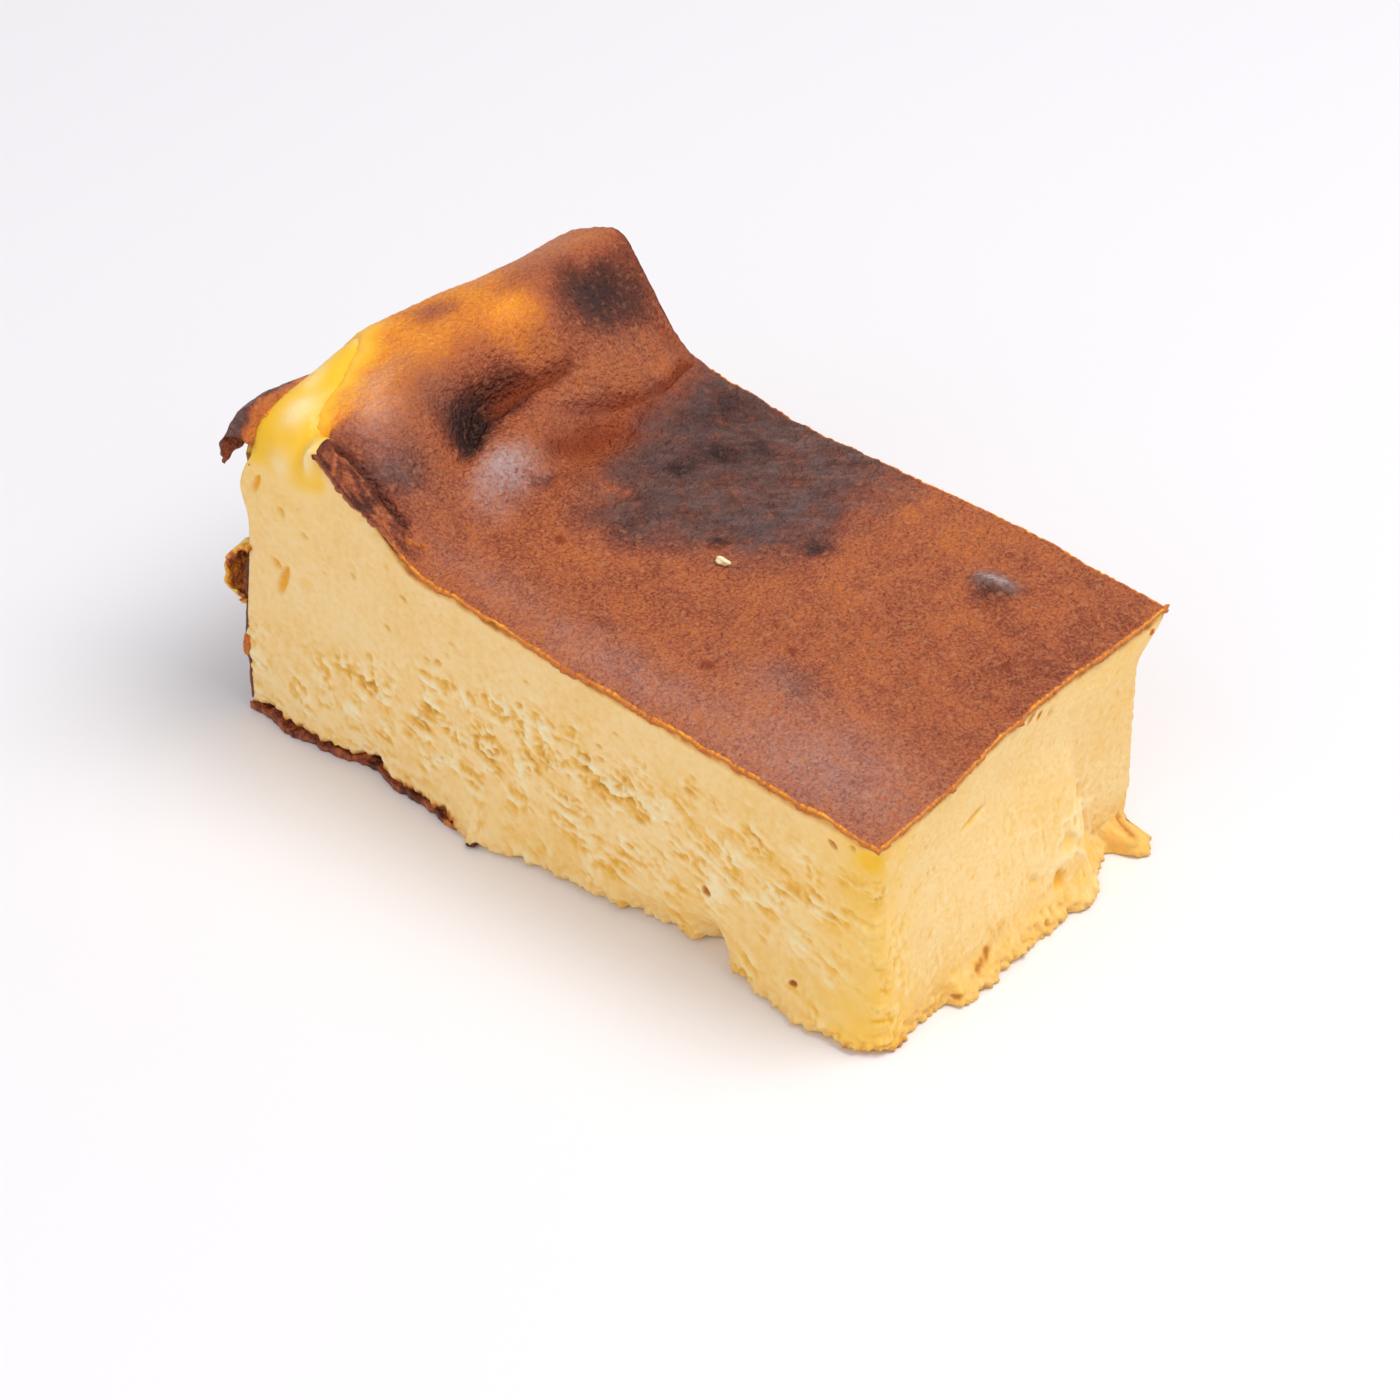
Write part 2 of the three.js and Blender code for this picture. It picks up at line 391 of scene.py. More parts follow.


# Baked custard, cut and torn: cream where it stands out, a painted highlight, butter yellow in its
# hollows, painted shade, a moist yellow where it stayed soft, and brown at burst bubbles and along
# the foot. Light goes a few millimetres into it, so its shadows are warm and soft.
def custard_material():
    made, tree = fresh_material("baked_custard")
    place = add(tree, "TexCoord").outputs["Object"]
    hollow, moist, browned = (
        add(tree, "Attribute", {"attribute_name": key}).outputs["Fac"] for key in NUMBERS["crumb"]
    )
    # Curd grain 0.45 mm across, and clouds of colour 4.5 mm across.
    fine = add(tree, "TexNoise", {"Scale": noise_scale(0.45), "Detail": 3.0}, Vector=place)
    cloud = add(tree, "TexNoise", {"Scale": noise_scale(4.5), "Detail": 2.0}, Vector=place)
    speck = add(tree, "Math", {"operation": "MULTIPLY_ADD", 1: 0.20, 2: -0.10}, n0=fine)
    drift = add(tree, "Math", {"operation": "MULTIPLY_ADD", 1: 0.26, 2: -0.13}, n0=cloud)
    shade = add(tree, "Math", {"operation": "ADD"}, n0=speck, n1=drift)
    depth = add(tree, "Math", {"operation": "ADD"}, n0=hollow, n1=shade)
    colour = add(tree, "ValToRGB", Fac=depth)
    set_stops(colour, ((0.0, "ffecbe"), (0.38, "fdd899"), (0.62, "f3bf60"), (1.0, "d99a34")))
    wet = add(tree, "Mix", {"data_type": "RGBA", 7: linear("ffc630")}, n0=moist, n6=colour)
    # Browning gathers in specks 0.9 mm across, not as an even tint.
    spots = add(tree, "TexNoise", {"Scale": noise_scale(0.9), "Detail": 2.0}, Vector=place)
    gather = add(tree, "Math", {"operation": "MULTIPLY_ADD", 1: 1.6, 2: -0.8}, n0=spots)
    reach = add(tree, "Math", {"operation": "MULTIPLY"}, n0=gather, n1=browned)
    toast = add(tree, "Math", {"operation": "ADD", "use_clamp": True}, n0=browned, n1=reach)
    toasted = add(tree, "ValToRGB", Fac=toast)
    set_stops(toasted, ((0.0, "f0bc54"), (0.35, "d38c34"), (0.65, "a35f22"), (1.0, "5c2e12")))
    cover = add(tree, "MapRange", {"From Min": 0.05, "From Max": 0.4}, Value=toast)
    final = add(tree, "Mix", {"data_type": "RGBA"}, n0=cover, n6=wet, n7=toasted)
    rough = add(tree, "MapRange", {"To Min": 0.62, "To Max": 0.3}, Value=moist)
    # Curd relief: grains 0.35 mm across.
    curd = add(tree, "TexNoise", {"Scale": noise_scale(0.35), "Detail": 4.0}, Vector=place)
    dry = add(tree, "MapRange", {"From Max": 0.6, "To Min": 1.0, "To Max": 0.08}, Value=moist)
    relief = add(tree, "Bump", {"Distance": 0.26 * MM}, Strength=dry, Height=curd)
    body = {
        "IOR": 1.42,
        "Specular IOR Level": 0.35,
        "Subsurface Weight": 0.25,
        "Subsurface Radius": (1.0, 0.62, 0.28),
        "Subsurface Scale": 1.0 * MM,
    }
    shader = add(tree, "BsdfPrincipled", body, Base_Color=final, Roughness=rough, Normal=relief)
    add(tree, "OutputMaterial", Surface=shader)
    return made


# Browned milk skin: leathery and thin, from soft yellow through amber and caramel to black where
# it burnt, freckled lighter and darker, with a dull satin sheen. On the burnt parts a greyish sheen,
# partly ash, is painted into its colour, and in places a pale painted sheen. Its cut rim is amber.
def skin_material():
    made, tree = fresh_material("browned_skin")
    place = add(tree, "TexCoord").outputs["Object"]
    bake, ash_and_sheen, painted_sheen, ember, freckle = (
        add(tree, "Attribute", {"attribute_name": key}).outputs["Fac"]
        for key in NUMBERS["browned_skin"]
    )
    # Freckles about 0.2 mm across over blotches 1.6 mm across, pulled apart into pale and dark, so
    # that the skin looks freckled and not cloudy.
    fine = {"Scale": noise_scale(0.19), "Detail": 5.0, "Roughness": 0.7}
    small = add(tree, "TexNoise", fine, Vector=place)
    large = add(tree, "TexNoise", {"Scale": noise_scale(1.6), "Detail": 2.0}, Vector=place)
    both = add(tree, "Mix", {"data_type": "FLOAT", 0: 0.20}, n2=small, n3=large)
    apart = {"From Min": 0.38, "From Max": 0.62, "To Min": 0.12, "To Max": -0.13}
    pulled = add(tree, "MapRange", apart, Value=both)
    amount = add(tree, "Math", {"operation": "MULTIPLY"}, n0=pulled, n1=freckle)
    level = add(tree, "Math", {"operation": "ADD", "use_clamp": True}, n0=bake, n1=amount)
    colour = add(tree, "ValToRGB", Fac=level)
    set_stops(colour, BROWNING)
    # Fuzzy tan flecks about 0.4 mm across.
    spatter = add(tree, "TexNoise", {"Scale": noise_scale(0.425), "Detail": 4.0}, Vector=place)
    sparse = add(tree, "MapRange", {"From Min": 0.54, "From Max": 0.68, "To Max": 0.6}, Value=spatter)
    tan = add(tree, "Math", {"operation": "MULTIPLY"}, n0=sparse, n1=freckle)
    flecked = add(tree, "Mix", {"data_type": "RGBA", 7: linear("cf8455")}, n0=tan, n6=colour)
    glow = add(tree, "Mix", {"data_type": "RGBA", 7: linear("92390d")}, n0=ember, n6=flecked)
    # A greyish painted sheen, partly ash, on the burnt parts.
    grey = add(tree, "Mix", {"data_type": "RGBA", 7: linear("6a5653")}, n0=ash_and_sheen, n6=glow)
    # A pale painted sheen lies in the leather grain, in flecks 0.35 mm across.
    fleck = add(tree, "TexNoise", {"Scale": noise_scale(0.35), "Detail": 3.0}, Vector=place)
    uneven = {"From Min": 0.36, "From Max": 0.64, "To Min": 0.5, "To Max": 1.35}
    catch = add(tree, "MapRange", uneven, Value=fleck)
    sheen_share = add(tree, "Math", {"operation": "MULTIPLY", "use_clamp": True}, n0=painted_sheen, n1=catch)
    with_painted_sheen = add(tree, "Mix", {"data_type": "RGBA", 7: linear("c8a7a2")}, n0=sheen_share, n6=grey)
    # Leather grain: wrinkles 0.33 mm wide, drawn deeper than they are, so that they show.
    wrinkle = add(tree, "TexNoise", {"Scale": noise_scale(0.33), "Detail": 4.0}, Vector=place)
    tough = add(tree, "MapRange", {"From Min": 0.12, "From Max": 0.45, "To Min": 0.15}, Value=bake)
    relief = add(tree, "Bump", {"Distance": 1.25 * MM}, Strength=tough, Height=wrinkle)
    rough = add(tree, "MapRange", {"To Min": 0.30, "To Max": 0.48}, Value=small)
    body = {
        "IOR": 1.45,
        "Specular IOR Level": 0.42,
        "Subsurface Weight": 0.08,
        "Subsurface Radius": (1.0, 0.45, 0.2),
        "Subsurface Scale": 0.8 * MM,
    }
    shader = add(tree, "BsdfPrincipled", body, Base_Color=with_painted_sheen, Roughness=rough, Normal=relief)
    add(tree, "OutputMaterial", Surface=shader)
    return made


# ---- cut custard ----
def cut_surface(s, z, tear, slots, drag, seed, draw=0.55):
    """How far the cut custard stands out, in millimetres, and how hollow it is from 0 to 1, which
    paints shade into the hollows and slots and a paler highlight onto the crests. The knife drew it
    out along the drag, in degrees from the long way of the face; a smaller draw makes longer
    streaks. Where tear is 1 it broke into flakes and thin crests; where slots is 1 burst bubbles
    were pulled into slots."""
    turn = math.radians(drag)
    level = stacked(s, z, seed * 37.0)
    swirl = 1.2 * grain(level, 10, seed)
    along = s * math.cos(turn) + z * math.sin(turn)
    across = z * math.cos(turn) - s * math.sin(turn) + swirl
    drawn = stacked(along * draw, across, seed * 37.0)
    broad = 0.30 * grain(level, 15, seed + 1)
    patch = np.clip(0.55 + 1.5 * grain(level, 4, seed + 2), 0.1, 1.25)

    # Torn plates: each rises slowly and breaks off at a short step.
    ripple = (1.3 * grain(drawn, 2.8, seed + 3) + 0.3 * grain(level, 0.9, seed + 4)) % 1.0
    plate = ripple * ease(1.0, 0.84, ripple)
    crest = np.clip(1 - 3.0 * np.abs(grain(drawn, 2.6, seed + 9)), 0, 1) ** 1.3
    small_crest = np.clip(1 - 3.0 * np.abs(grain(drawn, 1.1, seed + 10)), 0, 1)
    lumps = grain(level, 0.95, seed + 5) + 0.7 * grain(level, 0.6, seed + 6)
    edge_near, edge_far, luck = curds(drawn + 0.3 * stacked(lumps, lumps, 0), 1.25, seed + 7)
    flakes = (luck - 0.5) * ease(0.02, 0.25, edge_far - edge_near)
    fine = tear * patch * (0.44 * plate + 0.36 * crest + 0.18 * small_crest + 0.26 * flakes - 0.36)
    fine = fine + (0.030 + 0.17 * tear * patch) * lumps

    far, _, chance = curds(stacked(along * 0.46, across, seed * 11.0), 1.35, seed + 8)
    slot = ease(0.30, 0.10, far) * (chance < 0.24) * slots
    out = broad + fine - 0.32 * slot
    # Painted shade: darker where the relief sinks and in slots, paler on crests and plates.
    hollow = 0.42 - 1.45 * fine + 0.30 * slot
    return out, np.clip(hollow, 0, 1.0)


# Bubbles and tears of the near face that stand out: where along it, how high, their half sizes,
# how deep, their lean in degrees, and how brown.
NEAR_MARKS = (
    (-44.2, 23.2, 0.6, 2.4, 1.1, 16, 0.0), (-45.4, 25.4, 0.9, 0.5, 0.7, 20, 0.0),
    (-47.6, 36.0, 0.45, 1.4, 0.9, 4, 0.0), (-43.4, 33.6, 0.5, 0.45, 0.7, 0, 0.0),
    (-40.6, 24.5, 1.2, 1.0, 0.4, 30, 0.0), (23.2, 10.9, 0.5, 0.45, 0.7, 20, 0.46),
    (36.1, 5.0, 0.45, 0.3, 0.5, -20, 0.48), (41.6, 27.7, 0.6, 0.3, 0.5, 40, 0.36),
    (44.3, 28.6, 0.35, 0.25, 0.4, 0, 0.30), (-18.4, 23.4, 0.6, 0.4, 0.7, -20, 0.0),
    (-29.7, 18.5, 0.5, 0.5, 0.6, 0, 0.0),
)
# The same for the short cut face.
END_MARKS = (
    (-6.6, 21.9, 2.7, 0.5, 0.8, -4, 0.0), (9.0, 4.8, 0.95, 1.3, 0.8, 0, 0.0),
    (4.0, 7.4, 0.9, 0.8, 0.4, 20, 0.0), (3.4, 29.3, 0.6, 0.35, 0.5, -40, 0.42),
    (5.6, 28.6, 0.3, 0.45, 0.5, -40, 0.40), (8.9, 27.4, 0.3, 0.7, 0.4, -40, 0.12),
    (-13.6, 1.4, 0.35, 0.4, 0.4, 20, 0.32), (4.6, 1.4, 0.4, 0.6, 0.6, 0, 0.0),
)
# Soft lobes of bare custard at the near baked corner: centre, reach along x and across it, and
# how far they bulge out. The last ones are the folds between them.
LOBES = (
    (-44.2, -22.9, 46.1, 1.7, 3.0, 0.7), (-38.9, -27.4, 44.4, 1.3, 2.5, 0.6),
    (-43.4, -28.2, 41.2, 1.8, 2.2, 0.55), (-41.0, -27.9, 43.4, 0.6, 1.7, -0.30),
    (-41.0, -25.6, 45.6, 0.8, 1.4, -0.35), (-43.8, -26.5, 44.6, 1.3, 1.3, -0.35),
)


def marks(s, z, listed):
    deep = np.zeros_like(s)
    brown = np.zeros_like(s)
    for cs, cz, rs, rz, depth, lean, tan in listed:
        turn = math.radians(lean)
        a = ((s - cs) * math.cos(turn) - (z - cz) * math.sin(turn)) / rs
        b = ((s - cs) * math.sin(turn) + (z - cz) * math.cos(turn)) / rz
        reach = np.sqrt(a * a + b * b)
        inside = ease(1.35, 0.55, reach)
        deep = np.maximum(deep, depth * inside)
        brown = np.maximum(brown, tan * ease(1.9, 0.9, reach))
    return deep, brown


def bare_custard(x, y):
    """1 where no skin covers the custard: along the hump's rounded edge at the near baked corner."""
    rough = spread_over(x, y)
    wx = x + 0.7 * rough(4.5, 43, 2)
    wy = y + 0.7 * rough(4.5, 47, 2)
    stripe = wx + 42.5 + 0.385 * (wy + 25)
    outer = ease(1.8, -0.8, stripe) * ease(-7, -12, wy)
    corner = ease(-24.4, -26.2, wy) * ease(-37.7, -38.7, x)
    return np.maximum(outer, corner)


def bulges(x, y, z):
    """How far the bare lobes stand out, and how much of a lobe there is, from 0 to 1."""
    out, lobe, fold = 0, 0, 0
    for cx, cy, cz, rx, ryz, height in LOBES:
        near = np.exp(-(((x - cx) / rx) ** 2) - ((y - cy) / ryz) ** 2 - ((z - cz) / ryz) ** 2)
        out = out + height * near
        lobe = np.maximum(lobe, near * (height > 0))
        fold = np.maximum(fold, near * (height < 0))
    return out, lobe * (1 - 0.9 * fold)


def custard_top(x, y, rim):
    """Height of the skin, and of the custard: that lies well under the skin, so that it never
    shows through, and is level with it where it is bare. rim is the share in from the sides."""
    bare_top = ease(0.0, 0.25, bare_custard(x, y))
    relief = skin_relief(x, y)
    skin = skin_height(x, y) + mix(np.minimum(relief, 0.1), relief, bare_top)
    slope = np.abs(skin_height(x + 0.5, y) - skin_height(x - 0.5, y))
    slope = slope + np.abs(skin_height(x, y + 0.5) - skin_height(x, y - 0.5))
    beside = [skin_relief(x + a, y + b) for a, b in ((0.7, 0), (-0.7, 0), (0, 0.7), (0, -0.7))]
    narrow = np.maximum(relief - np.minimum.reduce(beside), 0) * ease(0, 0.02, rim)
    under_flap = ease(-23.5, -25.5, y) * ease(-39.5, -37.5, x) * ease(-23, -27, x)
    cleared = 0.3 + 0.4 * slope + 0.9 * ease(0, 0.04, rim) + 1.4 * narrow + 0.7 * under_flap
    return skin, skin - 0.04 - (1 - bare_top) * cleared


def long_faces(x, z, below):
    """Relief and hollows of the near cut face, then of the far one. They are smooth under the
    skin, torn below a line, and most torn 7 mm under that. Towards the short cut face the tears
    are drawn out longer and are fewer."""
    line = mix(12, 24.2, ease(-52, -4, x))
    under_line = ease(3.5, -1.5, z - line + 3.0 * grain(stacked(x, z, 4.0), 8, 3))
    calm_foot = 1 - 0.55 * ease(11, 4, z) * ease(8, -18, x)
    tear = under_line * calm_foot * (0.7 + 0.4 * bell(z, line - 7, 6))
    tear = np.clip(tear + 0.5 * ease(40, 47, x) * ease(30, 20, z), 0, 1)
    stretch = ease(6, 30, x + 4 * grain(stacked(x, z, 6.0), 9, 12))
    slots = ease(2.5, 6, below) * ease(21, 13, below) * (1 - 0.5 * stretch)
    slots = slots + mix(0.4, 0.12, stretch) * under_line
    tear = tear * (1 - 0.25 * stretch)
    short = cut_surface(x, z, tear, slots, -12, 11)
    drawn = cut_surface(x, z, tear, slots, -22, 29, 0.28)
    near = [mix(a, b, stretch) for a, b in zip(short, drawn)]
    return *near, *cut_surface(x, z, tear, slots, 28, 47)


def short_face(y, z, below):
    """Relief and hollows of the short cut face, and how wet it is between its webs."""
    tear = bell(z - 3 * grain(stacked(y, z, 5.0), 9, 4), 11, 5) * 0.14 + 0.10
    tear = tear + 0.7 * ease(-21, -27, y) * ease(31, 22, z)
    slots = 0.6 * ease(2.5, 6, below)
    out, hollow = cut_surface(1.5 * y, 1.5 * z, tear, slots, 82, 83, 0.42)
    # Low down thin webs of custard frame shallow hollows; the webs are painted paler, a painted highlight.
    cells = grain(stacked(y, z, 8.0), 5.5, 14) + 0.3 * grain(stacked(y, z, 8.0), 2.0, 15)
    webs = mound(y, z, 14, 9, 8.5, 6.5)
    out = out + webs * (0.44 * bell(cells, 0.05, 0.10) - 0.55 * ease(0.1, 0.5, cells))
    hollow = hollow - 0.30 * webs * bell(cells, 0.05, 0.10)
    # A dent parts the low lump from the face, and the lump is rough.
    out = out - 0.8 * bell(y, 22.2, 0.8) * ease(4.5, 2.5, z)
    out = out + 1.0 * layered(stacked(y, z, 9.0), 1.5, 16) * ease(22, 23.5, y) * ease(4.5, 3, z)
    return out, hollow, 0.35 * webs * ease(0.15, 0.5, cells)


def ragged_foot(x, y, z, on_near):
    """Crumbs that hang out and bites that are missing along the lowest millimetres."""
    broken = 0.8 * grain(stacked(x, y, 3.0), 4.2, 5) + 0.6 * grain(stacked(x, y, z), 1.7, 6)
    broken = broken + 0.62 * grain(stacked(x, y, z), 0.8, 9) - 1.3 * bell(x, 23.4, 0.9) * on_near
    return ease(4.5, 0.6, z) * broken


def worn_back(x, y, z, below):
    """How far the upright edge between the two cut faces in view is worn back, by x and by y."""
    to_cut = np.clip((x - X_CUT) / WORN_EDGE + 1, 0, 1)
    to_near = np.clip((Y_NEAR - y) / WORN_EDGE + 1, 0, 1)
    turn_cut, turn_near = to_cut * math.pi / 4, to_near * math.pi / 4
    worn = WORN_EDGE / (1 - math.cos(math.pi / 4)) * ease(0.3, 2.5, below)
    worn = worn * (0.9 + 0.5 * grain(stacked(0, 0, z), 4.5, 91))
    by_x = worn * (to_cut - np.sin(turn_cut)) * (1 - np.cos(turn_near))
    by_y = worn * (to_near - np.sin(turn_near)) * (1 - np.cos(turn_cut))
    return by_x, by_y


def browned_places(x, y, z, below, blur, on_near, on_cut, cut_side):
    """How brown the cut faces are: a stain low on the short one, the foot, the top of the low
    lump, and a line under the skin's lip."""
    streak = 0.8 + 0.9 * grain(stacked(y * 1.2, z * 0.8, 2.0), 0.9, 94)
    stain = 0.44 * mound(y - 1.8 * (z - 4), z, -6.6, 4.0, 1.8, 1.9) * np.clip(streak, 0.1, 1.3) * on_cut
    heel = 0.45 * ease(2.0, 0.2, z) * np.maximum(ease(30, 46, x) * on_near, ease(-19, -25, y) * on_cut)
    lump_top = 0.46 * mound(y, z, 25.6, 2.6, 1.3, 0.9) * on_cut
    foot = (0.16 + 0.12 * blur) * ease(2.0, 0.3, z) * cut_side
    foot = foot + (0.5 + 0.3 * blur) * ease(2.8, 1.2, z) * ease(-11, -18, x) * on_near
    under_lip = (0.42 + 0.20 * blur) * ease(2.2, 0.7, below) * cut_side * ease(-33, -29, x)
    return np.maximum.reduce([stain, heel + lump_top, foot, under_lip])


def custard_body():
    # Fine faces on the two cut sides in view, coarser ones behind, under and on top.
    steps = {(0, 0): 3, (0, 1): 1, (1, 0): 1, (1, 1): 3, (2, 0): 6, (2, 1): 3}
    places, faces = block(CUSTARD_CELLS, steps)
    u, v, w = places.T
    on_near, on_far, on_cut, on_baked = v == 0, v == 1, u == 1, u == 0
    cut_side = on_near | on_cut | on_far
    x = mix(X_BAKED, X_CUT, u)
    y = mix(Y_NEAR, Y_FAR, v)
    rim = np.minimum(np.minimum(u, 1 - u), np.minimum(v, 1 - v))
    skin, top = custard_top(x, y, rim)
    z = mix(underside(x, y) + LIFT, top, w)
    below = skin - z

    out_near, hollow_near, out_far, hollow_far = long_faces(x, z, below)
    out_cut, hollow_cut, wet_web = short_face(y, z, below)
    deep_near, brown_near = marks(x, z, NEAR_MARKS)
    deep_cut, brown_cut = marks(y, z, END_MARKS)
    ragged = ragged_foot(x, y, z, on_near)
    around = stacked(x, y, 3.0)
    gap = ease(0.05, 0, w) * (0.15 + 0.6 * grain(around, 2.6, 7) + 0.7 * grain(around, 0.9, 8))
    tucked = ease(1.2, 0.2, below) * 0.10 * ease(-41.5, -38.5, x)
    tucked = tucked + 0.5 * ease(3, 0.8, below) * ease(-39.5, -37, x) * ease(-23.5, -26.5, x) * on_near

    # Bare custard at the near baked corner: it bulges, and is smooth towards its rounded edge.
    calm = 1 - ease(-36.5, -39, x) * ease(5, 1, below)
    corner = ease(-22, -27, y) * (1.3 * bell(z, 41, 2.2) - 1.2 * bell(z, 34.5, 3))
    px = mix(baked_end(y, z) + 0.55 + corner, cut_face(y, z), u)
    py = mix(near_face(x, z), far_face(x, z, below), v)
    bulge, lobe = bulges(px, py, z)
    # The relief of each face fades out past the upright edge, so that nothing folds over there.
    worn_x, worn_y = worn_back(x, y, z, below)
    with_cut = np.maximum(on_cut, ease(46.0, X_CUT, x) * on_near)
    with_near = np.maximum(on_near, ease(-26.0, Y_NEAR, y) * on_cut)
    px = px - worn_x + with_cut * (out_cut * 0.6 - deep_cut + ragged - tucked)
    py = py + worn_y - with_near * (out_near * calm - deep_near + ragged - tucked)
    py = py + on_far * (out_far + ragged - tucked) - 0.8 * bulge
    z = z + np.maximum(gap, 0) * cut_side + 0.6 * bulge * ease(39, 42, z)

    hollow_cut = hollow_cut + 0.12 * ease(9, 2, z)
    hollow = np.where(on_cut, hollow_cut, np.where(on_far, hollow_far, hollow_near))
    both = (hollow_cut + hollow_near) / 2
    hollow = mix(hollow, both, np.minimum(with_cut, with_near))
    # Pits are painted darker, painted shade, and a wetter yellow.
    pitted = ease(0.2, 0.8, np.maximum(deep_near * on_near, deep_cut * on_cut))
    hollow = hollow + 0.3 * pitted
    blur = grain(stacked(x, y, z), 3.0, 93)
    # Around the lobes the custard is a wet, saturated yellow; the lobes themselves are painted paler, a
    # painted highlight on the bulges.
    soft_corner = ease(-36.0, -38.5, x) * ease(36.5, 41.0, z + 0.8 * blur) * ease(-4, -12, y)
    pale_run = 0.75 * bell(px + 45.8 + 0.5 * (y + 21), 0.4 * blur, 1.1) * ease(-22, -19, y)
    lobe = np.maximum(np.clip(1.25 * lobe, 0, 1), pale_run)
    yellow = soft_corner * (1 - 0.72 * lobe)
    hollow = mix(hollow, 0.22 - 0.10 * lobe + 0.05 * blur, soft_corner)
    side_glow = 0.30 * ease(-28, -44, x + 4 * blur) * ease(26, 40, z + 3 * blur) * on_near
    wet_spot = 0.75 * mound(x, z, 47.0, 27.6, 1.8, 1.5) * with_near
    wet_edge = np.maximum(ease(36, 48, x + 3 * blur) * on_near, ease(-18, -29, y + 3 * blur) * on_cut)
    moist = np.maximum(yellow, side_glow) + wet_spot + 0.44 * wet_edge + wet_web * on_cut + 0.45 * pitted
    moist = moist + 0.12 * np.maximum(on_cut, ease(5, 40, x) * on_near)
    moist = np.clip(moist + 0.14 * ease(12, 3, z) * ease(-22, -4, x) * on_near, 0, 1)
    places_browned = browned_places(x, y, z, below, blur, on_near, on_cut, cut_side)
    browned = np.maximum.reduce([brown_near * on_near, brown_cut * on_cut, places_browned])
    browned = np.where(on_baked & (z < 38) & (y > Y_NEAR + 1), 0.8, browned)
    values = (np.clip(hollow, 0, 1.2), moist, np.clip(browned, 0, 1))
    made = piece("custard_body", stacked(px, py, z), faces, values, "crumb")
    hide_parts("cheesecake_slice")


# ---- browned skin ----
def line_distance(x, y, points):
    """Distance from each place to a bent line through the points, and how far along it is."""
    best = np.full(np.shape(x), 1e9)
    share = np.zeros(np.shape(x))
    total = len(points) - 1
    for n, ((ax, ay), (bx, by)) in enumerate(zip(points, points[1:])):
        dx, dy = bx - ax, by - ay
        t = np.clip(((x - ax) * dx + (y - ay) * dy) / (dx * dx + dy * dy), 0, 1)
        far = np.hypot(x - ax - t * dx, y - ay - t * dy)
        share = np.where(far < best, (n + t) / total, share)
        best = np.minimum(best, far)
    return best, share


CRACK = ((-36.0, -25.2), (-33.9, -24.8), (-31.4, -24.4), (-26.4, -24.5))
FOLD = ((-29.1, 4.2), (-26.6, 10.5), (-24.4, 15.8), (-23.7, 19.8), (-24.6, 25.5))
CREASE_LINE = (
    (-28.2, -14.0), (-30.4, -9.0),
    (-32.2, -6.0), (-32.9, -3.2),
    (-32.6, 0.4), (-32.2, 3.8),
    (-31.4, 6.6), (-31.0, 9.4),
    (-31.8, 12.6),
)
RIDGE_LINE = ((-23.6, 26.5), (-21.8, 17.0), (-17.9, 4.3), (-20.2, -3.3))


def spread_over(x, y):
    """A noise maker for places on the skin: it takes a size, a seed and a number of layers."""
    return lambda size, seed, layers=1: layered(stacked(x, y, 1.0), size, seed, layers)


def skin_relief(x, y):
    """Fine folds of the skin that the solid is too coarse to carry."""
    rough = spread_over(x, y)
    far, _ = line_distance(x, y + 0.25 * rough(2.5, 19), CRACK)
    crack = -1.4 * bell(far, 0, 0.36)
    flap = 0.7 * ease(-24.5, -25.6, y) * ease(-39, -37.5, x) * ease(-23, -27, x)
    hang = -1.3 * ease(Y_NEAR + 2.2, Y_NEAR, y) * ease(-39.5, -37.5, x) * ease(-27, -31, x)
    fold_far, fold_share = line_distance(x, y, FOLD)
    fold = -0.9 * bell(fold_far, 0, 0.7) * ease(0, 0.2, fold_share)
    crease_far, crease_share = line_distance(x + 0.3 * rough(3, 20), y, CREASE_LINE)
    deep = 2.3 * bell(crease_share, 0.33, 0.20) + 0.9 * ease(0.3, 0.6, crease_share)
    deep = deep * ease(1.0, 0.85, crease_share)
    groove = -deep * bell(crease_far, 0, mix(1.25, 0.6, ease(0.35, 0.8, crease_share)))
    ridge_far, _ = line_distance(x, y, RIDGE_LINE)
    ridge = 0.25 * bell(ridge_far, 0, 0.8)
    char = burn_band(x, y)
    lumps = char * (0.20 * rough(1.3, 21, 2) + 0.25 * rough(5, 24))
    leather = 0.11 * rough(1.0, 27, 2) + 0.12 * rough(5.5, 31) + 0.25 * rough(16, 33)
    pocks = -0.12 * ease(0.35, 0.1, curds(stacked(x, y, 1.0), 3.4, 35)[0])
    return crack + flap + hang + fold + groove + ridge + lumps + leather + pocks


def burn_band(x, y):
    """1 in the big burnt band at the foot of the hump, fading to 0 around it."""
    left = ease(-20.5, -13.5, x + 0.25 * y)
    right = ease(13.5, 3.0, x - 0.10 * y)
    near = ease(-7.0, 6.5, y - 0.35 * x)
    return left * right * near
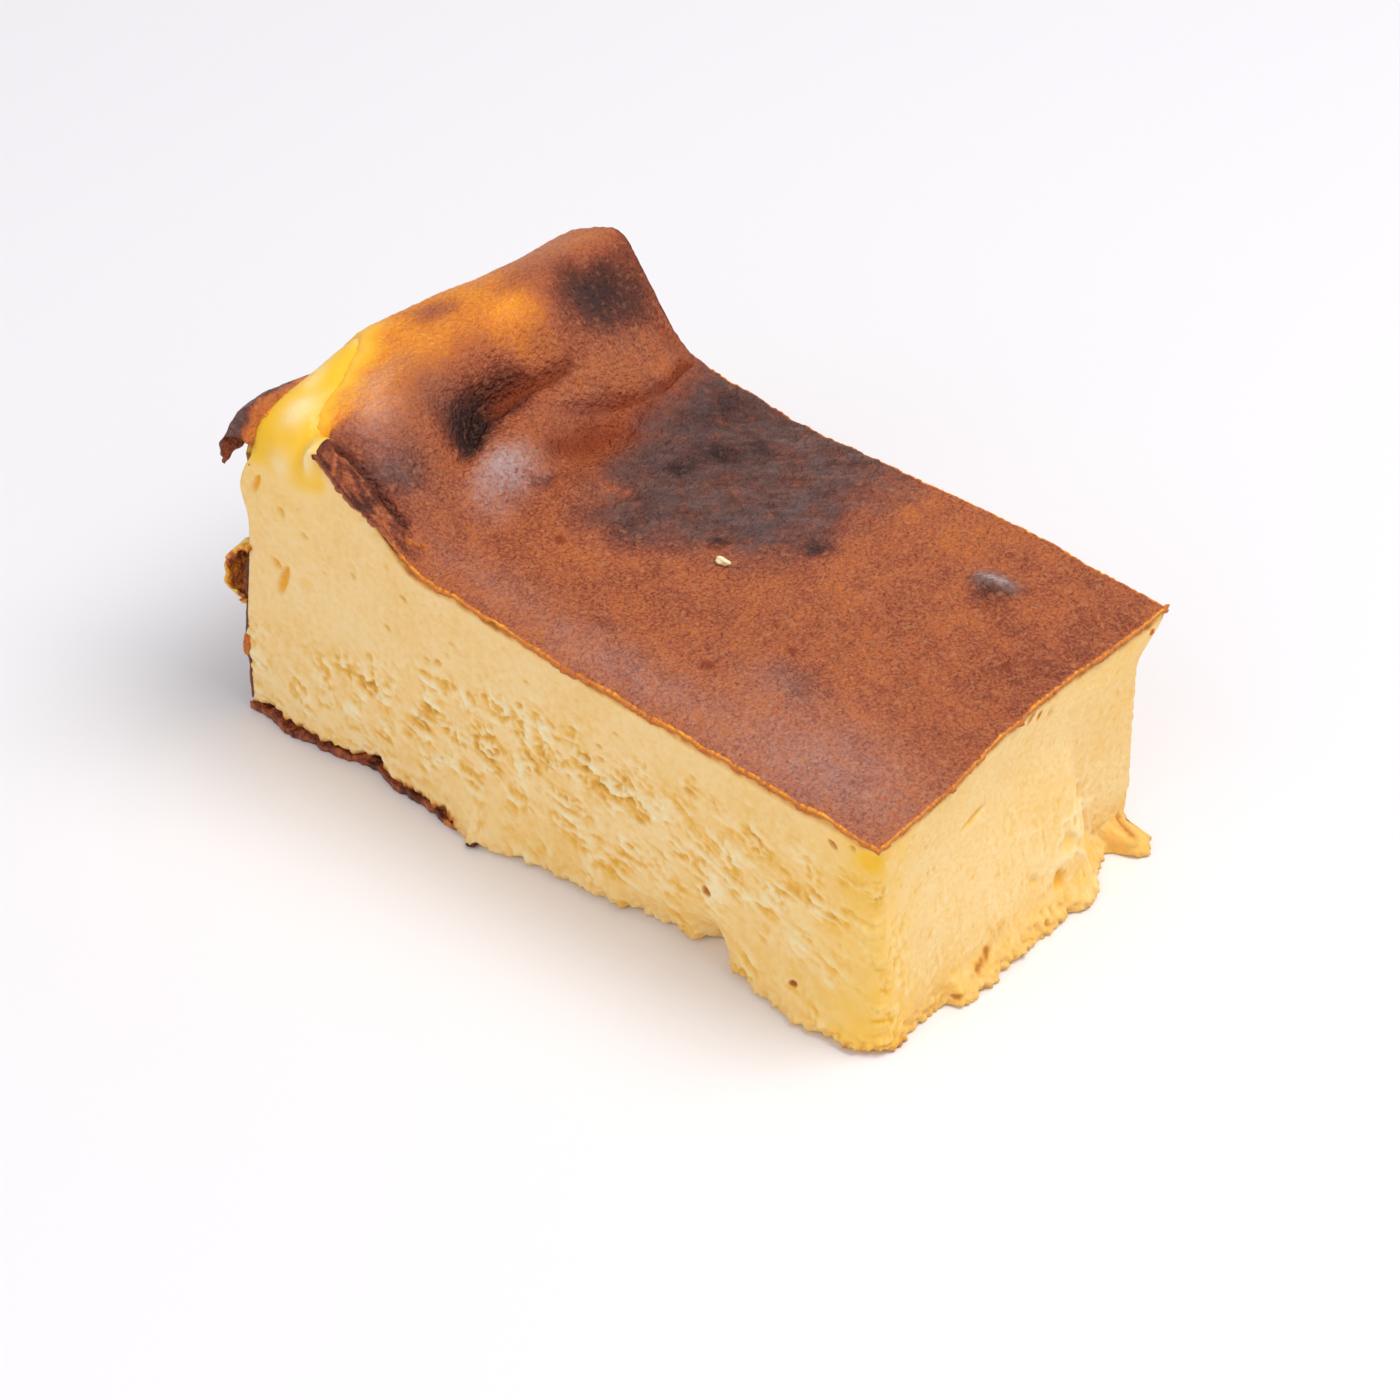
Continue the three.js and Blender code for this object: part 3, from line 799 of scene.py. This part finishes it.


# Darker and paler places of the skin: x, y, their reach both ways, and how much darker. Those
# along the crease are partly painted shade, and the paler one on the sheen lobe is a painted
# highlight.
BAKE_SPOTS = (
    (-33.0, 20.2, 3.3, 5.2, 0.35), (-33.0, 15.0, 2.6, 3.4, 0.08),
    (-31.6, 25.4, 2.2, 2.6, 0.12), (-37.0, 6.8, 3.6, 4.4, -0.17),
    (-41.5, 11.5, 2.6, 3.0, 0.08), (-45.0, 0.3, 2.0, 3.0, 0.20),
    (-28.3, 15.5, 4.5, 8.0, -0.05), (-31.2, -6.8, 2.0, 3.8, 0.30),
    (-34.0, -9.0, 2.6, 3.6, 0.11), (-30.5, -19.5, 3.6, 3.6, 0.12),
    (-24.2, 1.6, 1.4, 2.4, 0.10), (-22.2, -3.8, 0.9, 2.8, 0.20),
    (-25.2, -7.0, 1.8, 4.5, -0.06), (-24.8, 27.0, 2.2, 2.4, -0.10),
    (31.3, 16.8, 2.9, 2.4, 0.28), (31.8, 14.6, 2.6, 1.0, 0.10),
    (10.6, 9.0, 1.3, 1.3, 0.30), (23.5, -12.7, 4.5, 2.6, 0.07),
    (-39.5, 24.0, 3.2, 5.5, -0.16), (-8.5, -3.0, 5.0, 4.0, 0.10),
    (12.0, 22.0, 12.0, 6.0, -0.07), (44.0, 8.0, 7.0, 14.0, 0.06),
    (24.0, -21.0, 22.0, 7.0, -0.02), (-21.0, -9.0, 3.5, 4.0, 0.05),
    (-38.6, -17.0, 2.4, 4.0, -0.05), (-13.6, 0.2, 2.2, 2.2, -0.17),
    (-39.6, -5.0, 2.4, 3.4, -0.05),
)
# The darkest, warm brown places of the burnt band.
CORE_SPOTS = (
    (-11.4, 10.0, 2.2, 2.0, 0.30), (-10.2, 15.2, 3.2, 2.0, 0.28),
    (-8.4, 20.0, 2.6, 1.8, 0.20), (-15.6, 24.4, 3.0, 2.4, 0.18),
    (-17.5, 19.0, 2.2, 3.0, 0.12), (1.4, 1.2, 1.1, 1.1, 0.20),
)
# Burnt places that turned a smoky grey, partly ash and partly a grey painted sheen.
ASH_AND_SHEEN_SPOTS = (
    (-28.0, 17.0, 3.2, 5.0, 0.10), (-33.5, 16.5, 3.6, 6.0, 0.14),
    (-35.0, -8.6, 3.6, 4.2, 0.26), (-8.5, -3.0, 5.0, 4.0, 0.16),
    (-13.6, 0.2, 2.2, 2.2, -0.35), (-31.0, -18.5, 3.8, 4.2, 0.34),
    (31.3, 16.8, 2.4, 2.0, 0.35), (23.5, -12.7, 3.6, 2.0, 0.25),
)
# Places with a pale painted sheen in the leather grain.
PAINTED_SHEEN_SPOTS = (
    (-25.2, -7.2, 2.2, 4.6, 1.0), (-23.5, -12.0, 2.2, 3.2, 0.30),
    (-37.2, -18.0, 2.6, 3.4, 0.34), (-32.5, -21.5, 3.4, 2.4, 0.15),
    (-27.5, 8.0, 2.4, 6.0, 0.08), (-40.4, -14.6, 1.8, 4.5, 0.26),
    (30.7, 17.6, 1.8, 1.3, 0.95), (-16.0, -22.5, 9.0, 3.4, 0.14),
    (8.0, -24.0, 15.0, 3.6, 0.26), (22.0, -14.5, 5.0, 3.0, 0.12),
    (36.0, -21.5, 13.0, 7.5, 0.34),
)
EMBER_SPOTS = (
    (-24.2, 7.2, 3.0, 5.0, 0.92), (-24.9, 1.4, 1.6, 3.0, 0.65),
    (-21.8, 14.0, 2.4, 6.0, 0.30), (-27.5, 26.5, 3.0, 2.4, 0.45),
)
RED_SPECKS = ((14.4, -17.1, 0.9), (20.4, -8.3, 0.65), (41.2, 6.9, 0.6), (-13.7, -11.2, 0.7))


def gathered(x, y, listed):
    total = 0
    for cx, cy, reach_x, reach_y, amount in listed:
        total = total + amount * mound(x, y, cx, cy, reach_x, reach_y)
    return total


def skin_colouring(x, y):
    """How baked the skin is, how ashen and grey with painted sheen, how much pale painted sheen it
    has, how glowing brown and how freckled.
    """
    rough = spread_over(x, y)
    wx = x + 1.0 * rough(4.5, 43, 2)
    wy = y + 1.0 * rough(4.5, 47, 2)
    bake = 0.505 + 0.045 * rough(7, 41, 2)
    over_hump = ease(-31.5, -43.5, wx + 0.10 * (wy + 8))
    bake = mix(bake, 0.27, over_hump)
    bake = bake + 0.12 * ease(9, 18, wy) * ease(-30, -36, wx)
    bake = bake + 0.20 * ease(-17, -24, wy) * ease(-41, -37, wx) * ease(-26, -32, wx)
    band = burn_band(x + 1.6 * rough(5, 51, 2), y + 1.6 * rough(5, 55, 2))
    bake = bake + band * (0.20 + 0.07 * rough(1.4, 58, 2))
    cores = gathered(wx, wy, CORE_SPOTS)
    bake = bake + gathered(wx, wy, BAKE_SPOTS) + cores
    ash_and_sheen = gathered(wx, wy, ASH_AND_SHEEN_SPOTS)
    painted_sheen = gathered(wx, wy, PAINTED_SHEEN_SPOTS)
    ember = gathered(wx, wy, EMBER_SPOTS)

    # The crease and the fold are darker along thin lines, partly burnt and partly painted shade in the
    # grooves.
    crease_far, crease_share = line_distance(x + 0.3 * rough(3, 20), y, CREASE_LINE)
    thin = bell(crease_far, 0, 0.8) * ease(0.35, 0.5, crease_share) * ease(1.01, 0.85, crease_share)
    core = bell(crease_far, 0, 1.7) * ease(0.05, 0.2, crease_share) * ease(0.75, 0.5, crease_share)
    ember = ember + 0.9 * thin
    bake = bake + 0.22 * thin + 0.42 * core
    ridge_far, _ = line_distance(x + 0.3 * rough(3, 20), y, RIDGE_LINE)
    ember = ember + 0.35 * bell(ridge_far, 0.9, 0.8)
    fold_far, fold_share = line_distance(x, y, FOLD)
    fold = bell(fold_far, 0, 0.7) * ease(0, 0.2, fold_share)
    bake = bake + 0.10 * fold
    ember = ember + 0.7 * fold
    # The crack is painted darker, painted shade in its groove, and ember brown around it.
    crack_far, _ = line_distance(x, y + 0.25 * rough(2.5, 19), CRACK)
    crack = bell(crack_far, 0, 0.42)
    singed = bell(crack_far, 0, 0.9)
    ember = ember + 0.5 * singed
    ash_and_sheen = ash_and_sheen * (1 - 0.75 * core) * (1 - 0.8 * singed)

    # Towards the bare custard the skin turns a saturated yellow, by way of orange.
    stripe = wx + 42.5 + 0.385 * (wy + 25)
    reach = ease(-2, -8, wy)
    bake = mix(bake, 0.19, ease(5.4, 3.0, stripe) * reach * (1 - 0.5 * ease(-18, -22, wy)))
    bake = mix(bake, 0.11, ease(3.4, 1.6, stripe) * reach)
    flap = ease(-24.2, -24.9, y) * ease(-39.4, -38.8, x) * ease(-20, -27, x)
    strands = grain(stacked(x * 0.35, y * 2.2, 3.0), 1.0, 57)
    bake = mix(bake, 0.65 + 0.36 * strands, 0.9 * flap) + 0.6 * crack
    ash_and_sheen = ash_and_sheen * (1 - 0.9 * flap) + 0.05 * flap
    painted_sheen = painted_sheen * (1 - 0.9 * flap)
    # A bright amber bead and line show where the crack starts.
    bead = mound(x, y, -34.8, -25.5, 0.6, 0.45)
    bead = np.maximum(bead, 0.7 * bell(x + 35.7 + 0.6 * (y + 26.2), 0, 0.35) * ease(-25.3, -26, y))
    bake = mix(bake, 0.31, np.clip(bead, 0, 1) * ease(-39.0, -38.0, x))
    bake = np.where(bare_custard(x, y) > 0.9, 0.1, bake)

    # Over the burnt band a grey painted sheen, partly ash, lies in short thin streaks with a little
    # pale painted sheen on them, and there are pale blisters.
    slanted = stacked((0.70 * x + 0.71 * y) * 0.22, 0.70 * y - 0.71 * x, 4.0)
    drawn = layered(slanted, 0.75, 63)
    blisters = ease(0.32, 0.12, curds(stacked(x, y, 1.0), 2.8, 67)[0])
    grey_sheen = np.clip(0.50 + 0.16 * drawn + 0.34 * rough(3.0, 65, 2), 0, 0.85)
    ash_and_sheen = ash_and_sheen + band * grey_sheen * np.clip(1 - 3.4 * cores, 0, 1)
    bake = bake - 0.10 * band * blisters + 0.09 * band * np.clip(-drawn, 0, 1)
    painted_sheen = painted_sheen + 0.16 * band * np.clip(drawn - 0.1, 0, 1) * ease(-16, -8, x)
    for cx, cy, r in RED_SPECKS:
        ember = ember + 0.9 * ease(1.5, 0.6, np.hypot(x - cx, y - cy) / r)
    freckle = mix(1.0, 0.6, ease(-26, -38, x)) * (1 - 0.45 * band) * (1 - 0.5 * ease(0.62, 0.8, bake))
    freckle = freckle * ease(0.05, 0.3, bake)
    return bake, np.clip(ash_and_sheen, 0, 0.85), np.clip(painted_sheen, 0, 1), np.clip(ember, 0, 1), freckle


def lowest_around(heights, reach):
    """The lowest height within so many grid steps of each place."""
    rows, columns = heights.shape
    wide = np.pad(heights, reach, mode="edge")
    low = np.minimum.reduce([wide[n : n + rows] for n in range(2 * reach + 1)])
    return np.minimum.reduce([low[:, n : n + columns] for n in range(2 * reach + 1)])


def in_from_edge(rows, reach):
    """How far from the edge each row lies: the rows are closer together towards it."""
    return reach * (1 - np.cos(np.linspace(0, math.pi / 2, rows + 1)[:-1]))


def top_stations():
    """Places all over the top, closer together towards the cut faces."""
    edge = in_from_edge(EDGE_ROWS, EDGE_REACH)
    middle = np.linspace(Y_NEAR + EDGE_REACH, Y_FAR - EDGE_REACH, SKIN_ACROSS + 1)
    across = np.concatenate([Y_NEAR + edge, middle, Y_FAR - edge[::-1]])
    rest = np.linspace(X_CUT - END_REACH, X_BAKED, SKIN_LONG + 1)
    along = np.concatenate([X_CUT - in_from_edge(END_ROWS, END_REACH), rest])
    return np.meshgrid(along, across, indexing="ij")


def inner_side(outer, thick, y, z):
    """The inner side of the sheet. Under narrow grooves of the top it lies lower, so that its
    coarse faces stay below the outer ones. y and z are those of the top."""
    # A place on the level top tells which way the normals point.
    normals = grid_normals(outer)
    normals = normals * np.sign(normals[SKIN_LONG // 6, SKIN_ACROSS // 2, 2])
    inner = outer - thick[..., None] * normals
    rows = len(z)
    off_side = ease(0.5, 2.5, np.minimum(y - Y_NEAR, Y_FAR - y))
    lowered = np.minimum(inner[:rows, :, 2], lowest_around(z, 4) - 0.15)
    inner[:rows, :, 2] = mix(inner[:rows, :, 2], lowered, off_side)
    return inner


def browned_skin():
    """One sheet over the top, round the hump's roll and down the baked end."""
    x, y = top_stations()
    # Where the custard is bare the sheet dips below it.
    hidden = 1.2 * ease(0.08, 0.9, bare_custard(x, y))
    z = skin_height(x, y) + skin_relief(x, y) - hidden
    fall = np.linspace(0, 1, SKIN_DOWN + 1)[1:, None]
    wall_y = y[-1:] + 0 * fall
    wall_z = mix(z[-1:], underside(X_BAKED, wall_y) + 0.2, fall)
    wall_x = X_BAKED + 0 * wall_y

    all_x, all_y = np.concatenate([x, wall_x]), np.concatenate([y, wall_y])
    all_z = np.concatenate([z, wall_z])
    wall = np.concatenate([0 * x, fall + 0 * wall_y])
    rim_grain = layered(stacked(all_x, all_y, 7.0), 5.5, 71)
    fray = grain(stacked(all_x, all_y, 7.0), 0.5, 73)
    skinned = ease(-41, -38.5, all_x)
    lip = (SKIN_PROUD * (0.6 + 0.8 * rim_grain) + 0.2 * fray) * skinned
    set_back = 1.6 * ease(23.5, 26.5, all_z) + 2.6 * ease(30, 34, all_z)
    set_back = set_back * (wall > 0) * ease(0, 0.1, wall)
    tucked = 1.6 * ease(-38.0, -39.2, all_x) * (wall == 0)
    near = near_face(all_x, all_z) - lip + set_back + tucked
    far = far_face(all_x, all_z, np.where(wall > 0, 9.0, 0.0)) + 0.5 * lip
    cut = cut_face(all_y, all_z) + SKIN_PROUD * (0.6 + 0.6 * rim_grain) + 0.2 * fray
    share = (all_x - X_BAKED) / (X_CUT - X_BAKED)
    px = mix(baked_end(all_y, all_z), cut, share)
    py = mix(near, far, (all_y - Y_NEAR) / (Y_FAR - Y_NEAR))

    # The wall is lumpy, and its top is drawn in behind the curl.
    px = px - 0.4 * layered(stacked(all_x, all_y, all_z), 5.0, 75) * ease(0, 0.15, wall)
    px = px + 2.2 * (wall > 0) * ease(-11, -17, all_y) * ease(36, 40, all_z)
    outer = stacked(px, py, all_z)
    to_side = np.minimum(np.minimum(py - near, far - py), np.where(all_x > 0, cut - px, 9))
    thick = SKIN * (1 + 0.35 * rim_grain) * (1 + 0.6 * ease(1.6, 0, to_side) * (wall == 0))

    on_top = skin_colouring(x, y)
    join = ease(0.0, 0.10, fall) + 0 * wall_y
    wall_bake = 0.74 + 0.15 * layered(stacked(wall_x, wall_y, wall_z), 9.0, 81)
    # The wall gets a little grey and pale painted sheen.
    on_wall = (mix(on_top[0][-1:], wall_bake, join), 0.15 * join, 0.15 * join, 0 * join, 0.8 + 0 * join)
    bake, ash_and_sheen, painted_sheen, ember, freckle = (np.concatenate(both) for both in zip(on_top, on_wall))

    # The cut rim shows amber, and brown at the lip beside the crack.
    rim = ease(0.30, 0.04, to_side) * skinned
    rim_bake = mix(0.74, 0.21, ease(-30, -21, all_x)) + 0.12 * rim_grain + 0.24 * fray
    edge_bake = mix(bake, rim_bake, rim * 0.9)
    pairs = (
        (edge_bake, np.where(all_x > -38, 0.34, bake)),
        (ash_and_sheen * (1 - rim), 0),
        (painted_sheen * (1 - rim), 0),
        (ember * (1 - rim), 0.15),
        (freckle * (1 - 0.7 * rim), 0.3),
    )
    skin_sheet("browned_skin", outer, inner_side(outer, thick, y, z), pairs)


# ---- curls, scab and underside ----
def flap(name, outlines, thickness, colouring, seed, crumple, held_back):
    """A curled strip of skin. outlines gives, for each place along y, the strip's cross section
    as (x, z) points from where it leaves the slice to its tip. crumple is how far it wobbles and
    held_back how much later along y it starts at the slice than at its tip, in millimetres."""
    ys = np.array([y for y, _ in outlines])
    shapes = np.array([[*zip(*points)] for _, points in outlines], float)
    knots = np.arange(shapes.shape[2])
    t = np.linspace(0, 1, STRIP_LONG + 1)
    q = np.linspace(0, knots[-1], STRIP_ROUND + 1)
    y = mix(ys[0], ys[-1], t)
    grid = np.zeros((STRIP_LONG + 1, STRIP_ROUND + 1, 3))
    order = np.argsort(ys)
    for axis, column in ((0, 0), (1, 2)):
        rows = np.array([np.interp(q, knots, shape[axis]) for shape in shapes])
        for n in range(STRIP_ROUND + 1):
            grid[:, n, column] = np.interp(y, ys[order], rows[order, n])
    grid[..., 1] = y[:, None]
    # The corners between the given points are smoothed out.
    for _ in range(6):
        inside = grid[:, 1:-1, ::2]
        grid[:, 1:-1, ::2] = inside * 0.5 + (grid[:, 2:, ::2] + grid[:, :-2, ::2]) * 0.25
    share = np.linspace(0, 1, STRIP_ROUND + 1) + 0 * t[:, None]
    tip = ease(0.3, 1, share)
    for axis in range(3):
        wobble = layered(grid, 2.6, seed + 3 * axis)
        grid[..., axis] += wobble * (0.08 + crumple * tip)
    ragged_end = 0.9 * layered(stacked(0, share * 9, 0), 2.0, seed + 11, 2)
    grid[..., 1] += (ragged_end + held_back * ease(0.7, 0.1, share)) * ease(0.3, 0, t)[:, None]
    # Near the slice the strip's outer side faces up.
    normals = grid_normals(grid)
    normals = normals * np.sign(normals[STRIP_LONG // 2, STRIP_ROUND // 4, 2] + 1e-9)
    thick = thickness * (0.75 + 0.5 * layered(grid, 1.8, seed + 12, 2))
    outside, inside, ash_and_sheen = colouring(grid, share, t[:, None])
    # A little pale painted sheen goes with the grey.
    pairs = ((outside, inside), (ash_and_sheen, ash_and_sheen * 0.3), (0.3 * ash_and_sheen, 0), (0, 0.35), (0.4, 0.6))
    skin_sheet(name, grid, grid - thick[..., None] * normals, pairs)


def curl_colouring(grid, share, t):
    """Yellow where it leaves the custard, then orange, and burnt purple on its rim, with a little grey
    and pale painted sheen there.
    """
    rough = layered(grid, 1.8, 131)
    reach = share + 0.06 * rough + 0.03 * t
    outside = 0.14 + 0.25 * ease(0.04, 0.22, reach) + 0.38 * ease(0.28, 0.40, reach)
    return outside + 0.08 * rough, 0.60 + 0.1 * rough, 0.30 * ease(0.30, 0.42, reach)


def scab_colouring(grid, share, _):
    """Blotched from amber to dark brown."""
    rough = layered(grid, 1.3, 141)
    return 0.11 + 0.30 * rough, 0.32 + 0.3 * rough, 0 * share


# Cross sections of the curl and of the scab: each is a place along y, and the (x, z) of the strip
# from where it leaves the slice to its tip. The curl starts inside the custard.
CURL = (
    (-29.0, (
        (-46.4, 39.4), (-48.4, 41.0), (-50.4, 42.2), (-51.9, 42.1),
        (-52.5, 41.1), (-52.1, 39.8), (-51.3, 38.7),
    )),
    (-28.0, (
        (-46.3, 41.6), (-48.3, 43.1), (-50.3, 43.9), (-51.9, 43.4),
        (-52.4, 42.2), (-52.0, 40.6), (-51.2, 39.5),
    )),
    (-26.6, (
        (-46.2, 43.6), (-48.2, 45.2), (-50.2, 45.8), (-51.8, 44.8),
        (-52.2, 43.2), (-51.8, 41.4), (-51.0, 40.6),
    )),
    (-22.0, (
        (-46.6, 45.2), (-48.4, 46.3), (-50.2, 46.3), (-51.5, 45.4),
        (-51.9, 44.2), (-51.6, 42.9), (-51.1, 42.2),
    )),
    (-16.0, (
        (-47.2, 45.0), (-48.6, 45.8), (-49.9, 45.5), (-50.9, 44.7),
        (-51.1, 44.0), (-51.0, 43.3), (-50.7, 42.8),
    )),
    (-10.5, (
        (-47.6, 44.4), (-48.8, 44.8), (-49.6, 44.4), (-50.1, 44.0),
        (-50.3, 43.5), (-50.2, 43.2), (-50.1, 42.9),
    )),
)
SCAB = (
    (-28.6, (
        (-49.9, 26.0), (-51.8, 25.6), (-53.4, 23.6), (-54.3, 21.6),
        (-53.8, 19.6), (-53.2, 17.6), (-52.0, 16.6), (-51.0, 17.4),
    )),
    (-26.4, (
        (-49.9, 26.4), (-52.0, 25.8), (-53.6, 23.8), (-54.2, 21.6),
        (-53.8, 19.2), (-53.2, 17.2), (-52.2, 16.2), (-51.2, 16.6),
    )),
    (-23.0, (
        (-49.9, 25.2), (-51.2, 24.8), (-52.2, 23.2), (-52.6, 21.2),
        (-52.8, 19.2), (-52.6, 17.6), (-52.0, 16.8), (-51.4, 16.6),
    )),
    (-20.5, (
        (-49.9, 24.0), (-50.4, 23.4), (-50.8, 22.2), (-51.0, 21.0),
        (-51.2, 19.8), (-51.4, 18.6), (-51.4, 17.8), (-51.4, 17.4),
    )),
)


def base_skin():
    """The browned underside: a thin leathery plate that shows dark under the near foot."""
    lengths, widths = np.linspace(0, 1, BASE_LONG + 1), np.linspace(0, 1, BASE_ACROSS + 1)
    u, v = np.meshgrid(lengths, widths, indexing="ij")
    x, y = mix(X_BAKED, X_CUT, u), mix(Y_NEAR, Y_FAR, v)
    around = stacked(x, y, 11.0)
    ragged = 0.55 * layered(around, 3.0, 151) + 0.2 * grain(around, 0.8, 155)
    shown = ease(-9, -17, x) * ease(-18, -26, y)  # where it shows as a thick dark layer
    near = near_face(x, 0) + mix(2.4, -0.35, shown) + 2.4 * bell(x, 23.4, 4) + ragged
    px = mix(baked_end(y, 0) - 0.3, cut_face(y, 0) - 2.6 - 2.4 * ease(21.5, 23, y), u) + ragged * (2 * u - 1)
    py = mix(near, far_face(x, 0, 40) - 1.2 + ragged, v)
    crinkle = 0.12 * layered(around, 2.2, 157)
    low = LIFT + np.maximum(underside(x, y) * (1 - shown) * 0.8 + crinkle * 0.4, 0)
    high = low + BASE_SKIN + 0.3 * ragged + shown * (0.5 + 4.5 * crinkle)
    bake = 0.58 + 0.36 * layered(around, 1.8, 161)
    pairs = ((bake, bake - 0.1), (0, 0.1), (0, 0), (0.1, 0.2), (0.6, 0.8))
    skin_sheet("base_skin", stacked(px, py, high), stacked(px, py, low), pairs)


# ---- crumbs ----
def chunk(centre, radii, seed):
    """Points and faces of a small torn lump, for crumbs and flakes."""
    places, faces = block(CRUMB_CELLS, EVEN_STEPS)
    ball = places * 2 - 1
    ball = ball / np.linalg.norm(ball, axis=1)[:, None]
    swell = 1 + 0.5 * grain(ball * 2.0, 2.4, seed) + 0.08 * layered(ball * 2.0, 0.9, seed + 1, 2)
    return ball * swell[:, None] * radii + centre, faces


def crumbs(name, lumps, values, slot):
    """One piece made of several separate closed lumps, each with its centre and half sizes."""
    all_points, all_faces = [], []
    total = 0
    for n, (centre, radii) in enumerate(lumps):
        points, faces = chunk(centre, radii, 170 + 7 * n)
        all_points.append(points)
        all_faces += [[corner + total for corner in face] for face in faces]
        total += len(points)
    numbers = [np.full(total, value) for value in values]
    piece(name, np.concatenate(all_points), all_faces, numbers, slot)


CREAM_CRUMB = (((3.7, -0.9, 33.9), (1.0, 0.55, 0.45)),)
SKIN_FLAKES = (
    ((-23.3, -26.2, 38.2), (1.1, 0.35, 0.35)),
    ((-22.2, -25.6, 37.9), (0.7, 0.3, 0.3)),
    ((-51.9, -27.6, 9.6), (0.6, 0.8, 2.0)),
    ((47.9, 28.5, 31.3), (0.35, 0.7, 0.25)),
    ((47.6, 26.0, 29.2), (0.5, 0.5, 0.5)),
)
DARK_CRUMB = (((-11.5, -30.6, 0.55), (0.7, 0.6, 0.4)),)


# ---- floor and light ----
FLOOR_REACH = 4.0  # metres from the slice to each side
AIM_HEIGHT = 0.02  # metres above the floor, where the lamps point
SKY_STRENGTH = 0.47
# Each lamp's place in metres, its width in metres and its power in watts.
LAMPS = {"key_lamp": ((0.36, 0.25, 0.9), 0.6, 6.6), "fill_lamp": ((0.0, -0.8, 0.6), 0.9, 2.6)}


def add_floor():
    made, tree = fresh_material("pale_floor")
    shader = add(tree, "BsdfPrincipled", {"Base Color": linear("f4f2f5"), "Roughness": 0.6})
    add(tree, "OutputMaterial", Surface=shader)
    mesh = bpy.data.meshes.new("floor")
    corners = [(a * FLOOR_REACH, b * FLOOR_REACH, 0) for a, b in ((-1, -1), (1, -1), (1, 1), (-1, 1))]
    mesh.from_pydata(corners, [], [(0, 1, 2, 3)])
    mesh.materials.append(made)
    floor = put_in_scene("floor", mesh)


def add_lamp(name, place, size, power):
    """A square soft lamp, turned to the slice."""
    lamp = bpy.data.lights.new(name, "AREA")
    lamp.size = size
    lamp.energy = power
    made = put_in_scene(name, lamp)
    made.location = place
    x, y, z = place
    dip = math.atan2(math.hypot(x, y), z - AIM_HEIGHT)
    made.rotation_euler = (dip, 0, math.atan2(y, x) + math.pi / 2)


def add_light():
    world = bpy.data.worlds.new("studio")
    world.use_nodes = True
    sky = world.node_tree.nodes["Background"]
    sky.inputs["Color"].default_value = linear("fdfdff")
    sky.inputs["Strength"].default_value = SKY_STRENGTH
    bpy.context.scene.world = world
    for name, (place, size, power) in LAMPS.items():
        add_lamp(name, place, size, power)
    bpy.context.scene.view_settings.view_transform = "Standard"


LOOKS = {"browned_skin": skin_material(), "crumb": custard_material()}
add_floor()
add_light()
custard_body()
browned_skin()
flap("curled_skin", CURL, 0.6, curl_colouring, 111, 0.36, 2.0)
flap("wall_scab", SCAB, 0.9, scab_colouring, 121, 0.6, 0.0)
base_skin()
crumbs("cream_crumb", CREAM_CRUMB, (0.05, 0, 0), "crumb")
crumbs("skin_flakes", SKIN_FLAKES, (0.36, 0, 0, 0.1, 1), "browned_skin")
crumbs("dark_crumb", DARK_CRUMB, (0.80, 0.1, 0, 0.1, 1), "browned_skin")
